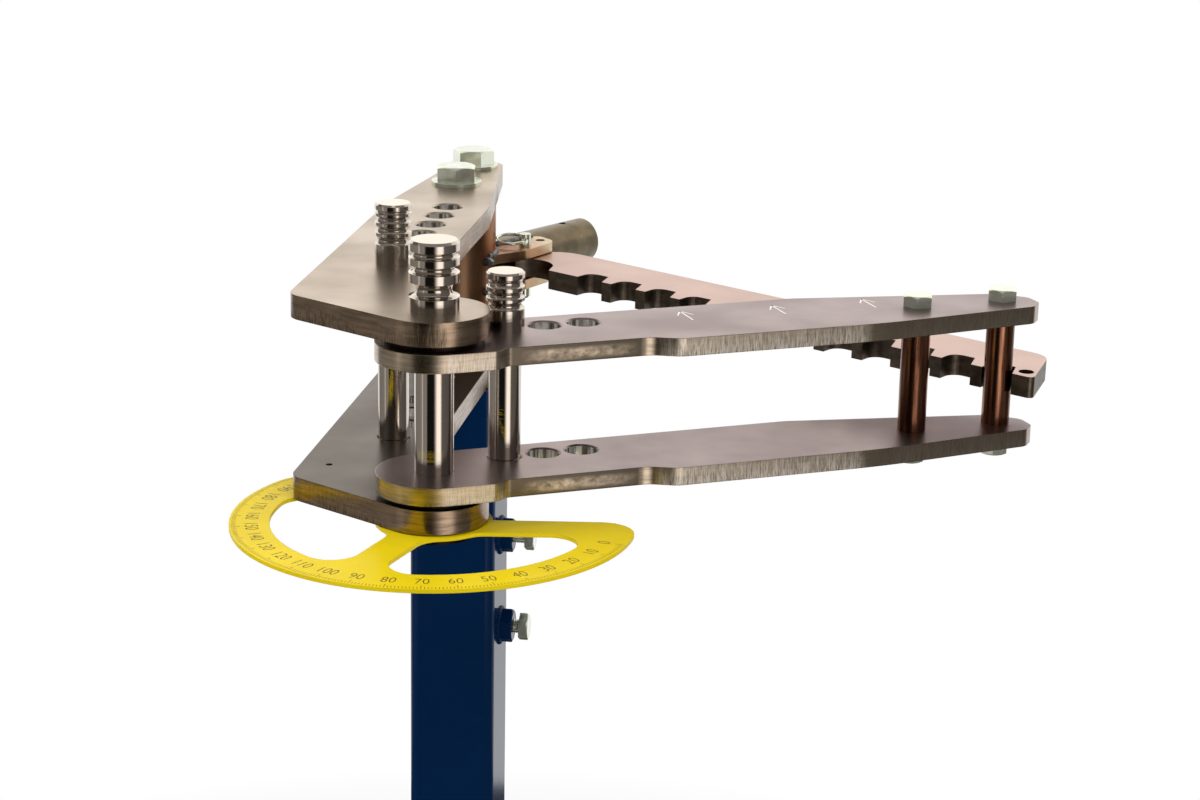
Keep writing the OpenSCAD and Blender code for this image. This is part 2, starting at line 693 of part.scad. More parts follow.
// Turn of the ring about that direction
pull_twist = -8;
pull_hole_d = 2.1 * pull_wire_d;

module clevis_pin() color("silver") at_clevis(0) difference() {
    translate([0, 0, pin_high]) pin_shaft(clevis_pin_d, pin_high - pin_low);
    translate([0, 0, pull_z]) rotate([0, 0, pull_dir]) rotate([90 + pull_twist, 0, 0])
        cylinder(d = pull_hole_d, h = 2 * clevis_pin_d, center = true);
}

module pull_ring() color("silver") at_clevis(pull_z) rotate([0, 0, pull_dir]) rotate([pull_twist, 0, 0])
    translate([pull_ring_d / 2, 0, 0]) rotate_extrude() translate([pull_ring_d / 2, 0]) circle(d = pull_wire_d, $fn = 24);

// Hooked bar
eye_r = clevis_pin_d * 1.45;
hook_bottom = hook_off - spacer_d / 2 - hook_room;

// Notch in the bar's near edge: upright wall towards the lever, and a tip over the wall towards the bar's outer end
module notch(left, tip, lip, bottom, round_r) polygon(outline([
    [left, -bar_near - over, 0],
    [left, -bottom, round_r],
    [tip, -bottom, 0],
    [lip, -bar_near, 0],
    [lip, -bar_near - over, 0]
]));
module hook_cut() notch(-hook_wall, hook_tip, hook_lip, hook_bottom, hook_wall * hook_round_share);

// Clearance round the eye, shaped like a larger hook
module eye_cut() {
    translate([eye_cut_r, -eye_cut_r - eye_cut_drop]) circle(eye_cut_r);
    polygon([
        [eye_cut_r, -eye_r],
        [eye_cut_tip, -eye_cut_r / 2],
        [eye_cut_tip + hook_lip - hook_tip, -bar_near],
        [eye_cut_tip + hook_lip - hook_tip, -bar_near - over],
        [eye_cut_r, -bar_near - over]
    ]);
}

module bar_outline() difference() {
    polygon(outline([
        [-eye_r, -eye_r, eye_r * 0.7],
        [eye_r / 2, -eye_r, 0],
        [eye_r / 2, -bar_near, 0],
        [hook_u + bar_tail, -bar_near, spacer_d / 5],
        [hook_u + bar_tail / 3, bar_far, bar_far / 2],
        [eye_r * 1.2, bar_far, bar_far * 0.9],
        [-eye_r, eye_r * 0.4, eye_r / 2]
    ]));
    for (i = [0:hook_count - 1]) translate([hook_u - i * hook_pitch, 0]) hook_cut();
    eye_cut();
    translate([hook_u + end_hole_along, -end_hole_off]) circle(d = end_hole_d);
}

module ratchet_bar() color("dimgray") at_clevis(mid_z) difference() {
    rotate([0, 0, bar_angle]) rotate([0, bar_droop, 0]) translate([0, 0, -bar_t / 2]) linear_extrude(bar_t) bar_outline();
    translate([0, 0, -bar_t]) cylinder(d = clevis_pin_d + 2 * fit, h = 2 * bar_t);
}

foot_plate();
gussets();
pedestal_column();
clamp_nuts();
upper_clamp_bolt();
lower_clamp_bolt();
mounting_post();
lower_frame_plate();
upper_frame_plate();
rear_bolts();
rear_washers();
rear_nuts();
rear_spacer_tube();
lever_sleeve();
dial_journal();
dial_screws();
degree_ring();
main_pivot_pin();
follow_pin();
drive_pin();
upper_thrust_washer();
lower_thrust_washer();
upper_arm_plate();
lower_arm_plate();
inner_spacer_tube();
outer_spacer_tube();
arm_bolts();
arm_nuts();
lever_barrel();
upper_clevis_plate();
lower_clevis_plate();
handle_socket();
clevis_pin();
pull_ring();
ratchet_bar();
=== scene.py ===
import json
from math import atan2, radians, sqrt

import bpy
import numpy as np
from bpy.props import FloatProperty, FloatVectorProperty, IntProperty, PointerProperty
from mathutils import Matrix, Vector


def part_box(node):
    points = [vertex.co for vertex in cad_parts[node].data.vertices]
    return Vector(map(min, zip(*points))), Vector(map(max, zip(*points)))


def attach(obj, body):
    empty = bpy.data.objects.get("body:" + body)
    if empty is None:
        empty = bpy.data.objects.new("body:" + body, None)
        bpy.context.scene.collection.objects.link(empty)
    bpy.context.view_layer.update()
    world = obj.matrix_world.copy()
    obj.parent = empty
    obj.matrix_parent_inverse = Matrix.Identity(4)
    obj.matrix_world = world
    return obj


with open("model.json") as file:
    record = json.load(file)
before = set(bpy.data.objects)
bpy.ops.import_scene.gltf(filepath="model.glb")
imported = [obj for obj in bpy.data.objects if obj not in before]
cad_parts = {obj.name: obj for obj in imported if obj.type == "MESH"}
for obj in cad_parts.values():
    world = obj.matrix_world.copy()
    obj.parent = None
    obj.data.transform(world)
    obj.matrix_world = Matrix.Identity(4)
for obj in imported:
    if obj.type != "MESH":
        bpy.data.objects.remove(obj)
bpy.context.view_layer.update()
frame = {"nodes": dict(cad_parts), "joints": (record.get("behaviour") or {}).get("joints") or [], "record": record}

bl_info = {
    "name": "Tube Bender Dresser",
    "version": (1, 0, 0),
    "blender": (4, 5, 0),
    "location": "3D View > Sidebar > Bender",
    "description": "Finishes, welds, threads and dial printing for a manual tube bender",
    "category": "Object",
}

NODES = frame["nodes"]
JOINTS = {joint["name"]: joint for joint in frame["joints"]}
MOUNTS = {mount["name"]: mount for mount in frame["record"]["mounts"]}
MM = 0.001


# Places that the frame gives
def joint_place(name):
    """Where a hinge's axis passes, in metres."""
    return np.array(JOINTS[name]["pos_m"])


def node_box(name):
    """Lowest and highest corner of a node as arrays."""
    low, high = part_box(name)
    return np.array(low), np.array(high)


PIVOT = joint_place("arm_swing")
LEVER = joint_place("lever_swing")
SOCKET_DIR = np.array(MOUNTS["handle_bore"]["axis"])
SOCKET_R = (node_box("handle_socket")[1][2] - node_box("handle_socket")[0][2]) / 2
BARREL_R = (node_box("lever_barrel")[1][0] - node_box("lever_barrel")[0][0]) / 2
RING_TOP = node_box("degree_ring")[1][2]
ARM_ANGLE = radians(28.3)  # the arm's centre line at rest, from +X
ARM_DIR = np.array([np.cos(ARM_ANGLE), np.sin(ARM_ANGLE), 0.0])
ARM_SIDE = np.array([-ARM_DIR[1], ARM_DIR[0], 0.0])

# Zones of the plates, in millimetres from the main pivot
FRAME_BORES = ((126, 378), (-78, -48))  # strip of the frame's row of holes, along Y and along X
ARM_BORES = ((-20, 200), (-34, 34))  # strip of the arm's holes, along the arm and across it
# The recess's middle zone holds its painted highlight
HUB_LINES, RECESS, RECESS_HIGHLIGHT, WIDE_LINES = (-2, 42), (50, 152), (80, 130), (172, 335)  # along the arm
TIP_SMOOTH, TIP_LINES = (335, 360), (345, 380)  # where the tip's ground metal and its drag lines set in
ARROW_PLACES = ((210.8, 3.0), (288.5, 0.5), (366.9, -0.4))  # feet of the arrows, along the arm and across it

# Small sizes of the added pieces, in metres, and ratios
ARROW_BARB = (0.23, 0.585)  # how far aside and how far along the arrow a barb ends, as shares of its length
ENGRAVED_LIFT, INK_LIFT = 0.05 * MM, 0.04 * MM  # height above the face, enough to be seen
TICK_HALF, TICK_INSET = 0.25 * MM, 1.5 * MM  # half a tick's width, and the ticks' distance from the rim
TYPE_SIZE, TYPE_THINNED = 1.45, 0.018  # type size, and cut off each side of a stroke, per digit height
THREAD_ROOT, THREAD_DEPTH = 5.95 * MM, 0.75 * MM
NUT_OVERLAP, BOLT_HEAD = 8 * MM, 8.5 * MM  # a thread starts this deep in its nut and ends at the head's underside
PLATE_WELD = 60 * MM  # how far the welds on the socket reach beyond the barrel
GUSSET_HALF = 4.75 * MM  # half a gusset's thickness
HEX_CORNER = 1.155  # a hexagon's corner radius over its flat radius
SOCKET_WELD, PLATE_ARC, PLATE_END = (48, 312), (-84, -22), -86  # directions of the barrel's welds, in degrees

# Studio: directions in degrees from +X round the main pivot, lengths in metres, brightness from 0
WALL_RADIUS, RING_HOLE = 1.5, 0.3
WALL_STOPS = (
    (148, 0.0), (153, 0.24), (206, 0.28), (208, 0.7), (213, 0.7), (216, 0.26), (239, 0.32), (241, 0.01),
    (281, 0.01), (286, 0.2), (293, 0.8), (300, 1.6), (320, 1.6), (326, 0.15), (390, 0.1), (396, 0.5))
WALL_HEIGHTS, WALL_LIFT, WALL_GREY = (0.02, 1.15, 1.42, 2.9), (0.0, 0.0, 0.88, 0.95), 0.14  # lift: share of the grey
SHADE_SPAN, SHADE_HEIGHTS, SHADE_TONES = (36, 148), (1.38, 1.75, 2.9), (1.5, 1.25, 0.7)
# The floor's dark sheet and the ceiling glow only for reflections: painted reflections of a dark floor and a dim
# ceiling
FLOOR_DARK_REFLECTION, CEILING = (0.015, 0.05), (2.95, 0.28)  # height and brightness
FLOOR_FADE = (0.45, 1.2)  # distances between which the floor turns white
WORLD_LIGHT = 0.45  # brightness of the white backdrop as a light


# Colour and node helpers
def linear(code):
    """A hex sRGB colour as linear RGB: ((c + 0.055) / 1.055) ^ 2.4 above 0.04045, and c / 12.92 below."""
    values = [int(code[i:i + 2], 16) / 255 for i in (1, 3, 5)]
    return tuple(((v + 0.055) / 1.055) ** 2.4 if v > 0.04045 else v / 12.92 for v in values)


def toned(colour, share):
    """The colour made darker or lighter by a factor."""
    return tuple(c * share for c in colour)


def blank_material(name):
    """A material with an empty node tree."""
    material = bpy.data.materials.new(name)
    material.use_nodes = True
    material.node_tree.nodes.clear()
    return material, material.node_tree


def add(tree, kind, *values, sockets=None, **settings):
    """Adds a shader node of that kind with its settings. Its sockets take the values in their order, or by name or
    number from the dictionary. A node as a value links its first output."""
    node = tree.nodes.new("ShaderNode" + kind)
    for name, value in settings.items():
        setattr(node, name, value)
    for place, value in (*enumerate(values), *(sockets or {}).items()):
        socket = node.inputs[place]
        if isinstance(value, bpy.types.Node):
            tree.links.new(value.outputs[0], socket)
        elif isinstance(value, bpy.types.NodeSocket):
            tree.links.new(value, socket)
        else:
            socket.default_value = (*value, 1.0) if socket.type == "RGBA" else value
    return node


def product(tree, first, *others):
    """All the values multiplied."""
    for other in others:
        first = add(tree, "Math", first, other, operation="MULTIPLY")
    return first


def weighted(tree, *terms, start=0.0):
    """The sum of some values, each given with its weight, on top of start."""
    for value, weight in terms:
        start = add(tree, "Math", value, weight, start, operation="MULTIPLY_ADD")
    return start


def inverse(tree, share):
    """What is left of 1 beside that share."""
    return weighted(tree, (share, -1.0), start=1.0)


def layered(tree, base, *layers):
    """A colour under layers, lowest first, each given as its share and its colour."""
    for share, colour in layers:
        base = add(tree, "Mix", sockets={0: share, 6: base, 7: colour}, data_type="RGBA").outputs[2]
    return base


def grain(tree, size_mm, detail=4.0, roughness=0.55, distortion=0.0):
    """Noise on Object coordinates whose features are size_mm wide along X, Y and Z."""
    place = add(tree, "TexCoord").outputs["Object"]
    scaled = add(tree, "Mapping", sockets={"Vector": place, "Scale": [1 / (s * MM) for s in size_mm]})
    return add(tree, "TexNoise", sockets={
        "Vector": scaled, "Scale": 1.0, "Detail": detail, "Roughness": roughness, "Distortion": distortion})


def facing_up(tree):
    """1 on the flat top and bottom of a plate and 0 on its cut edges."""
    normal = add(tree, "NewGeometry").outputs["True Normal"]
    height = add(tree, "Math", add(tree, "SeparateXYZ", normal).outputs["Z"], operation="ABSOLUTE")
    return add(tree, "Math", height, 0.7, operation="GREATER_THAN")


def bumped(tree, height, depth_mm, edge_mm=0.0):
    """Normal from a height pattern of that depth, over edges rounded by edge_mm."""
    sockets = {"Height": height, "Distance": depth_mm * MM, "Strength": 1.0}
    if edge_mm:
        sockets["Normal"] = add(tree, "Bevel", edge_mm * MM, samples=4)
    return add(tree, "Bump", sockets=sockets)


def close(tree, sockets):
    """The principled shader with these sockets, joined to the output."""
    add(tree, "OutputMaterial", add(tree, "BsdfPrincipled", sockets=sockets))


# Sizes and colours that a user would change
class BenderFinishSettings(bpy.types.PropertyGroup):
    """Colours of the bender's finishes."""
    frame_face: FloatVectorProperty(
        name="Frame plate face", description="Ground hot-rolled plate, light side", subtype="COLOR",
        default=linear("#EADCCC"))
    frame_shade: FloatVectorProperty(
        name="Frame plate shade", description="Ground hot-rolled plate, dark side", subtype="COLOR",
        default=linear("#C2B3A1"))
    arm_face: FloatVectorProperty(
        name="Arm plate face", description="Ground arm plate, light side", subtype="COLOR",
        default=linear("#C6B6B7"))
    arm_shade: FloatVectorProperty(
        name="Arm plate shade", description="Ground arm plate, dark side", subtype="COLOR",
        default=linear("#A69697"))
    frame_edge: FloatVectorProperty(
        name="Frame plate edge", description="Ground edge of the frame plates", subtype="COLOR",
        default=linear("#AE9985"))
    arm_edge: FloatVectorProperty(
        name="Arm plate edge", description="Ground edge of the arm plates", subtype="COLOR",
        default=linear("#CDBDA9"))
    edge_light: FloatVectorProperty(
        name="Cut edge, light", description="Bright drag lines of a plasma-cut edge", subtype="COLOR",
        default=linear("#F8F3EA"))
    edge_dark: FloatVectorProperty(
        name="Cut edge, dark", description="Dark drag lines of a plasma-cut edge", subtype="COLOR",
        default=linear("#A59889"))
    bar_face: FloatVectorProperty(
        name="Bar face", description="Pink-tinted face of the hooked bar", subtype="COLOR",
        default=linear("#D8BBB0"))
    bar_edge: FloatVectorProperty(
        name="Bar edge", description="Dark scaled edge of the hooked bar", subtype="COLOR",
        default=linear("#766C61"))
    pin_metal: FloatVectorProperty(
        name="Turned steel", description="Polished turned pins", subtype="COLOR", default=linear("#D0C8BF"))
    zinc: FloatVectorProperty(
        name="Zinc plating", description="Clear zinc on the fasteners", subtype="COLOR", default=linear("#EEF2EA"))
    oxide: FloatVectorProperty(
        name="Black oxide", description="Blackened rings at the pivot", subtype="COLOR", default=linear("#2A2420"))
    tint_warm: FloatVectorProperty(
        name="Heat tint, warm", description="Orange tint beside the welds", subtype="COLOR",
        default=linear("#B0672F"))
    tint_base: FloatVectorProperty(
        name="Heat tint, base", description="Brown steel of the lever's hub", subtype="COLOR",
        default=linear("#866A52"))
    tint_cool: FloatVectorProperty(
        name="Heat tint, cool", description="Blue-grey tint right at the welds", subtype="COLOR",
        default=linear("#62686E"))
    clevis_face: FloatVectorProperty(
        name="Clevis face", description="Straw-tinted clevis plate", subtype="COLOR", default=linear("#E0CCAA"))
    socket_metal: FloatVectorProperty(
        name="Socket metal", description="Olive-tan tube of the handle socket", subtype="COLOR",
        default=linear("#9A8D73"))
    copper_dark: FloatVectorProperty(
        name="Spacer tube, dark", description="Dark streaks of the spacer tubes", subtype="COLOR",
        default=linear("#4E3023"))
    copper_light: FloatVectorProperty(
        name="Spacer tube, light", description="Light streaks of the spacer tubes", subtype="COLOR",
        default=linear("#A5735A"))
    navy: FloatVectorProperty(
        name="Column paint", description="Navy powder coat", subtype="COLOR", default=linear("#02264D"))
    yellow: FloatVectorProperty(
        name="Dial paint", description="Yellow dial plate", subtype="COLOR", default=linear("#F2D516"))
    ink: FloatVectorProperty(
        name="Dial ink", description="Printed numbers and ticks", subtype="COLOR", default=linear("#4A4218"))
    bead: FloatVectorProperty(
        name="Weld bead", description="Bare weld metal", subtype="COLOR", default=linear("#A3A6AB"))
    mark: FloatVectorProperty(
        name="Engraved line", description="Bright bottom of the arm's engraved arrows", subtype="COLOR",
        default=linear("#F3EFE6"))


class BenderDialSettings(bpy.types.PropertyGroup):
    """Printing of the degree ring."""
    zero_angle: FloatProperty(
        name="Zero mark", description="Direction of the zero mark from the cross direction",
        default=radians(-11.75), subtype="ANGLE", unit="ROTATION")
    last_degree: IntProperty(name="Last number", description="Last degree printed", default=200, min=10)
    number_radius: FloatProperty(
        name="Number radius", description="Pivot to the middle of the numbers", default=0.1395, unit="LENGTH")
    number_height: FloatProperty(
        name="Number height", description="Height of a printed digit", default=0.0105, unit="LENGTH")
    arrow_length: FloatProperty(name="Arrow length", description="Length of an arrow", default=0.0272, unit="LENGTH")
    arrow_width: FloatProperty(
        name="Arrow line", description="Width of the arrows' engraved line", default=0.0014, unit="LENGTH")
    number_width: FloatProperty(
        name="Number width", description="Width of the digits as a share of the type's own", default=0.78,
        subtype="FACTOR")
    tick_long: FloatProperty(
        name="Ten-degree tick", description="Length of a tick at every ten degrees", default=0.0065, unit="LENGTH")
    tick_short: FloatProperty(
        name="One-degree tick", description="Length of a tick at every degree", default=0.0035, unit="LENGTH")


class BenderWeldSettings(bpy.types.PropertyGroup):
    """Weld beads and threads."""
    bead_radius: FloatProperty(
        name="Bead radius", description="Half width of a fillet weld", default=0.0038, unit="LENGTH")
    ripple_pitch: FloatProperty(
        name="Ripple pitch", description="Distance between two ripples of a bead", default=0.0024, unit="LENGTH")
    thread_pitch: FloatProperty(
        name="Thread pitch", description="Pitch of the clamp bolts' thread", default=0.0018, unit="LENGTH")


class BenderStudioSettings(bpy.types.PropertyGroup):
    """Camera and light."""
    lens: FloatProperty(name="Lens", description="Focal length in millimetres", default=79.57)
    camera_place: FloatVectorProperty(
        name="Camera place", description="Where the camera stands", default=(0.451, -2.283, 1.577),
        subtype="XYZ", unit="LENGTH")
    camera_turn: FloatVectorProperty(
        name="Camera turn", description="How the camera is turned",
        default=(radians(73.813), radians(-1.055), radians(8.33)), subtype="EULER", unit="ROTATION")
    floor_size: FloatProperty(name="Floor size", description="Side of the floor", default=60.0, unit="LENGTH")
    floor_colour: FloatVectorProperty(
        name="Floor", description="Pale floor", subtype="COLOR", default=linear("#F4F4F4"))


# Finishes
def plate_height(tree, node):
    """Height in the plate from its lower face, 0, to its upper face, 1."""
    place = add(tree, "TexCoord").outputs["Object"]
    low, high = node_box(node)
    return add(tree, "MapRange", add(tree, "SeparateXYZ", place).outputs["Z"], low[2], high[2])


def pivot_distance(tree, direction):
    """Distance from the main pivot along that direction, in millimetres."""
    place = add(tree, "TexCoord").outputs["Object"]
    along = add(tree, "VectorMath", place, tuple(direction), operation="DOT_PRODUCT").outputs["Value"]
    from_pivot = add(tree, "Math", along, float(PIVOT @ direction), operation="SUBTRACT")
    return add(tree, "Math", from_pivot, MM, operation="DIVIDE")


def between(tree, value, start, end, soft):
    """1 where the value lies between start and end, over soft shoulders."""
    return product(tree, add(tree, "MapRange", value, start - soft, start),
                   add(tree, "MapRange", value, end, end + soft, 1.0, 0.0))


def in_strip(tree, directions, zones):
    """1 in a strip that holds a row of bores: its zones along two directions from the main pivot."""
    return product(tree, *(
        between(tree, pivot_distance(tree, direction), *zone, 1) for direction, zone in zip(directions, zones)))


def bore_metal(tree, look):
    """Bright bored steel, with painted reflection: dark and light upright bands such as its round wall mirrors."""
    # Painted reflection: upright bands of dark and light in the colour of the bore's wall
    reflection_band = add(tree, "MapRange", grain(tree, (3.5, 3.5, 60), 2.0, 0.5), 0.42, 0.58)
    return layered(tree, toned(look.edge_light, 0.16), (reflection_band, toned(look.edge_light, 0.85)))


def drag_lines(tree, share, height, reach):
    """Where drag lines show: a share of the edge that fades out unevenly over the reach above the lower face."""
    uneven = add(tree, "MapRange", grain(tree, (2.5, 2.5, 200), 3.0), 0.3, 0.7, -0.4, 0.4)
    fading = add(tree, "MapRange", weighted(tree, (height, 1.0), (uneven, 1.0)), 0.0, reach, 1.0, 0.0)
    return product(tree, share, fading)


def frame_edge(tree, look, level, height):
    """A frame plate's cut edge, ground smooth, with dark flecks left in its lower part.

    Like arm_edge it gives: the ground colour with its bores, where drag lines show, their dark and light colours,
    and where the bores are.
    """
    edge = look.frame_edge
    bores = in_strip(tree, (np.array([0.0, 1.0, 0.0]), np.array([1.0, 0.0, 0.0])), FRAME_BORES)
    smooth = layered(tree, toned(edge, 0.55), (level, edge), (bores, bore_metal(tree, look)))
    patches = add(tree, "MapRange", grain(tree, (70, 70, 60), 2.0, 0.5), 0.46, 0.54)
    shown = drag_lines(tree, product(tree, patches, inverse(tree, bores)), height, 0.75)
    return smooth, shown, toned(edge, 0.22), toned(edge, 0.95), bores


def arm_edge(tree, look, level, height):
    """An arm plate's cut edge: painted shade in the recess round a mottled painted highlight in its middle, bright and
    lined along the wide part, a little at the hub and the tip, and brown and ground smooth at the tip."""
    distance = pivot_distance(tree, ARM_DIR)
    edge = look.arm_edge
    bores = in_strip(tree, (ARM_DIR, ARM_SIDE), ARM_BORES)
    # Painted shade in the recess, with a painted highlight along the middle of its length and height, broken by mottle
    mottle = add(tree, "MapRange", grain(tree, (7, 7, 5), 4.0, 0.6), 0.3, 0.68)
    middle = product(tree, between(tree, distance, *RECESS_HIGHLIGHT, 24), between(tree, height, 0.3, 0.62, 0.22), mottle)
    recess = layered(tree, toned(edge, 0.2), (middle, toned(edge, 0.95)))
    smooth = layered(
        tree, toned(edge, 0.62), (level, edge), (between(tree, distance, *RECESS, 5), recess),
        (add(tree, "MapRange", distance, *TIP_SMOOTH), toned(edge, 0.6)), (bores, bore_metal(tree, look)))
    lined = weighted(
        tree, (between(tree, distance, *WIDE_LINES, 8), 1.0), (between(tree, distance, *HUB_LINES, 6), 0.45),
        (add(tree, "MapRange", distance, *TIP_LINES), 0.25))
    shown = drag_lines(tree, product(tree, lined, inverse(tree, bores)), height, 1.6)
    return smooth, shown, look.edge_dark, look.edge_light, bores


def cut_plate(name, node, face, shade, look, edge_of):
    """Hot-rolled plate, ground on its faces and plasma-cut on its edges.

    Faces: softly clouded grey-brown with fine grinding marks along the plate. Edges: upright drag lines, longest
    at the lower face where the cut left the plate, on ground metal. Bores: paler, partly matt metal, with painted
    upright bands of reflection.
    """
    material, tree = blank_material(name)
    flat = facing_up(tree)
    side = inverse(tree, flat)
    height = plate_height(tree, node)
    cloud = add(tree, "MapRange", grain(tree, (70, 70, 70), 4.0, 0.5), 0.32, 0.7)
    marks = grain(tree, (34, 1.3, 6), 3.0, 0.6)
    face_colour = layered(tree, shade, (weighted(tree, (cloud, 0.8), (marks, 0.2)), face))
    level = add(tree, "MapRange", grain(tree, (26, 26, 2.4), 4.0, 0.6), 0.35, 0.65)
    smooth, shown, dark, light, bores = edge_of(tree, look, level, height)
    drag = grain(tree, (0.8, 0.8, 9), 3.0, 0.6)
    lines = layered(tree, dark, (add(tree, "MapRange", drag, 0.38, 0.56), light))
    close(tree, {
        "Base Color": layered(tree, smooth, (shown, lines), (flat, face_colour)),
        "Metallic": weighted(tree, (product(tree, side, bores), -0.38), start=1.0),
        "Roughness": weighted(tree, (flat, 0.08), (cloud, -0.05), (product(tree, shown, side), 0.22), start=0.28),
        "Normal": bumped(tree, weighted(tree, (product(tree, drag, side, shown), 1.0), (marks, 0.05)), 0.13, 1.1)})
    return material


def scaled_bar(name, face, edge):
    """Bar cut from scaled plate: pink-brown ground face, even grey-black scale on the cut."""
    material, tree = blank_material(name)
    flat = facing_up(tree)
    cloud = add(tree, "MapRange", grain(tree, (60, 60, 60), 4.0, 0.5), 0.32, 0.7)
    tone = weighted(tree, (cloud, 0.7), (grain(tree, (40, 2, 8), 3.0, 0.6), 0.3))
    scale = add(tree, "MapRange", grain(tree, (12, 12, 6), 4.0, 0.6), 0.35, 0.68)
    side = layered(tree, toned(edge, 0.7), (scale, toned(edge, 1.25)))
    close(tree, {
        "Base Color": layered(tree, side, (flat, layered(tree, toned(face, 0.76), (tone, face)))),
        "Metallic": 1.0, "Roughness": add(tree, "MapRange", flat, 0.0, 1.0, 0.42, 0.34),
        "Normal": bumped(tree, grain(tree, (1.5, 1.5, 4), 3.0), 0.08, 0.9)})
    return material


def turned_steel(name, colour):
    """Polished turned steel: fine rings round the axis that blur the reflections a little."""
    material, tree = blank_material(name)
    rings = grain(tree, (400, 400, 0.35), 2.0, 0.7)
    close(tree, {
        "Base Color": colour, "Metallic": 1.0,
        "Roughness": add(tree, "MapRange", grain(tree, (18, 18, 2.5), 3.0, 0.5), 0.3, 0.7, 0.03, 0.07),
        "Normal": bumped(tree, rings, 0.03, 0.35)})
    return material


def zinc_plate(name, colour):
    """Clear zinc on cold-headed fasteners: a milky passivated film, cool with a faint straw cast, over metal."""
    material, tree = blank_material(name)
    mottle = add(tree, "MapRange", grain(tree, (9, 9, 9), 3.0, 0.6), 0.35, 0.7)
    straw = tuple(c * s for c, s in zip(colour, (0.88, 0.9, 0.74)))
    close(tree, {
        "Base Color": layered(tree, straw, (mottle, colour)), "Metallic": 0.82,
        "Roughness": add(tree, "MapRange", mottle, 0.0, 1.0, 0.13, 0.22),
        "Normal": bumped(tree, grain(tree, (7, 7, 7), 1.0), 0.04, 0.7)})
    return material


def heat_tinted(name, base, look):
    """Bare steel near a weld. The heat leaves rings of colour round the weld: blue-grey, brown-orange, then straw."""
    material, tree = blank_material(name)
    weld = lever_point(BARREL_R * 0.97, -BARREL_R * 0.25, 0.0)[0]
    place = add(tree, "TexCoord").outputs["Object"]
    flat = add(tree, "VectorMath", place, (1.0, 1.0, 0.0), operation="MULTIPLY")
    reach = add(tree, "VectorMath", flat, (weld[0], weld[1], 0.0), operation="DISTANCE").outputs["Value"]
    wavy = weighted(tree, (reach, 1 / MM), (grain(tree, (16, 16, 12), 3.0, 0.6), 26.0), start=-13.0)
    cloud = add(tree, "MapRange", grain(tree, (22, 22, 40), 3.0, 0.5), 0.35, 0.68)
    colour = layered(
        tree, toned(base, 0.72), (cloud, base),
        (add(tree, "MapRange", wavy, 18.0, 58.0, 0.85, 0.0), look.tint_warm),
        (add(tree, "MapRange", wavy, 4.0, 13.0, 0.85, 0.0), look.tint_cool))
    close(tree, {
        "Base Color": colour, "Metallic": 1.0, "Roughness": add(tree, "MapRange", cloud, 0.0, 1.0, 0.28, 0.36),
        "Normal": bumped(tree, grain(tree, (2.2, 2.2, 5), 3.0), 0.05, 0.8)})
    return material


def drawn_tube(name, dark, light, rough_low, rough_high, streak_mm):
    """Drawn tube with mill scale: streaks along its length."""
    material, tree = blank_material(name)
    streak = add(tree, "MapRange", grain(tree, streak_mm, 4.0, 0.6, 0.2), 0.36, 0.66)
    close(tree, {
        "Base Color": layered(tree, dark, (streak, light)), "Metallic": 1.0,
        "Roughness": add(tree, "MapRange", streak, 0.0, 1.0, rough_high, rough_low),
        "Normal": bumped(tree, streak, 0.05, 0.4)})
    return material


def painted(name, colour, rough, peel_mm, gloss):
    """Sprayed and baked paint: even colour under a gloss that shows mostly at a flat angle, faint orange peel."""
    material, tree = blank_material(name)
    tone = add(tree, "MapRange", grain(tree, (60, 60, 60), 3.0), 0.3, 0.7)
    close(tree, {
        "Base Color": layered(tree, toned(colour, 0.9), (tone, colour)), "Roughness": rough,
        "Specular IOR Level": gloss, "Normal": bumped(tree, grain(tree, (peel_mm,) * 3, 2.0, 0.5), 0.02, 1.0)})
    return material


def blackened(name, colour):
    """Black oxide on steel: near black, satin, with a slight mottle."""
    material, tree = blank_material(name)
    mottle = grain(tree, (6, 6, 6), 3.0)
    close(tree, {
        "Base Color": layered(tree, toned(colour, 0.6), (mottle, colour)), "Metallic": 1.0,
        "Roughness": add(tree, "MapRange", mottle, 0.3, 0.7, 0.3, 0.42), "Normal": bumped(tree, mottle, 0.02, 0.5)})
    return material


def printed_ink(name, colour):
    """Screen-printed ink: flat and a little rough."""
    material, tree = blank_material(name)
    wear = add(tree, "MapRange", grain(tree, (3, 3, 3), 3.0), 0.35, 0.6, 0.42, 0.6)
    close(tree, {"Base Color": colour, "Roughness": wear})
    return material


def engraved(name, colour):
    """Bare bright bottom of an engraved line."""
    material, tree = blank_material(name)
    glint = add(tree, "MapRange", grain(tree, (1.2, 1.2, 1.2), 2.0), 0.3, 0.7, 0.4, 0.6)
    close(tree, {"Base Color": colour, "Roughness": glint})
    return material


def weld_metal(name, colour):
    """Bare weld metal: grey, oxidised in patches."""
    material, tree = blank_material(name)
    patch = add(tree, "MapRange", grain(tree, (4, 4, 4), 4.0, 0.6), 0.4, 0.62)
    close(tree, {
        "Base Color": layered(tree, toned(colour, 0.35), (patch, colour)), "Metallic": 1.0,
        "Roughness": add(tree, "MapRange", patch, 0.0, 1.0, 0.55, 0.32),
        "Normal": bumped(tree, grain(tree, (1.5, 1.5, 1.5), 3.0), 0.2)})
    return material


def coat_node(node, material):
    """Gives the material to one CAD node."""
    mesh = NODES[node].data
    mesh.materials.clear()
    mesh.materials.append(material)


def coat_slot(slot, material):
    """Gives the material to every CAD node whose record slot is that one."""
    for part in frame["record"]["subparts"]:
        if part["material_slot"] == slot:
            coat_node(part["node"], material)


